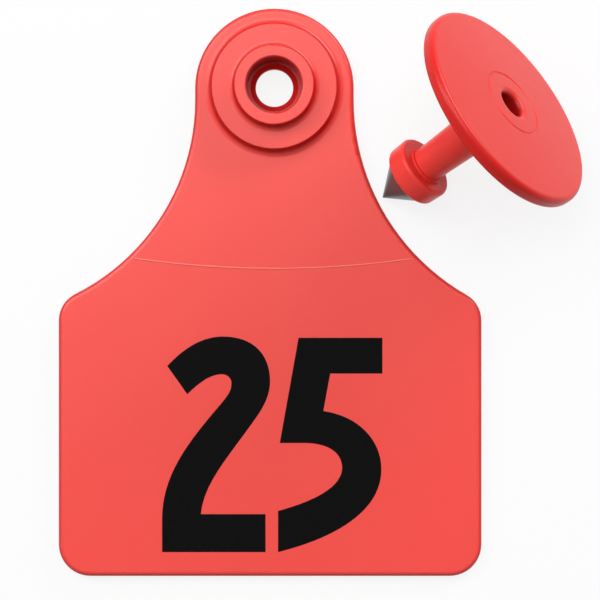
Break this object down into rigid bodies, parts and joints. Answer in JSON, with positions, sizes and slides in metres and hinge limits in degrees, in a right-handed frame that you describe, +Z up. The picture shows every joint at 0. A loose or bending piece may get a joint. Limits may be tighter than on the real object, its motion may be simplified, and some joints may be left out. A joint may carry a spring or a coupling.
{
  "type": "livestock ear tag",
  "caption": "Two-piece ear tag laid out: a flat printed panel whose narrow neck carries an open snap socket, and a button stud with a barbed head and a steel point.",
  "frame": {"origin": "on the socket's axis in the plane of the panel's ear face, where the stud's neck enters", "axes": "+Z up out of the socket boss, away from the ear; +Y to the top of the tag, along the panel; +X to the side where the stud lies"},
  "size_m": [0.0698, 0.0765, 0.025],
  "materials": {
    "red_plastic": "satin soft polyurethane, coral red",
    "stud_plastic": "satin polyurethane, coral red",
    "tip_steel": "turned and polished",
    "black_ink": "matt marking ink"
  },
  "bodies": {
    "root": {"tag_panel": "red_plastic", "button_stud": "stud_plastic", "steel_tip": "tip_steel", "digit_two": "black_ink", "digit_five": "black_ink"}
  },
  "joints": []
}
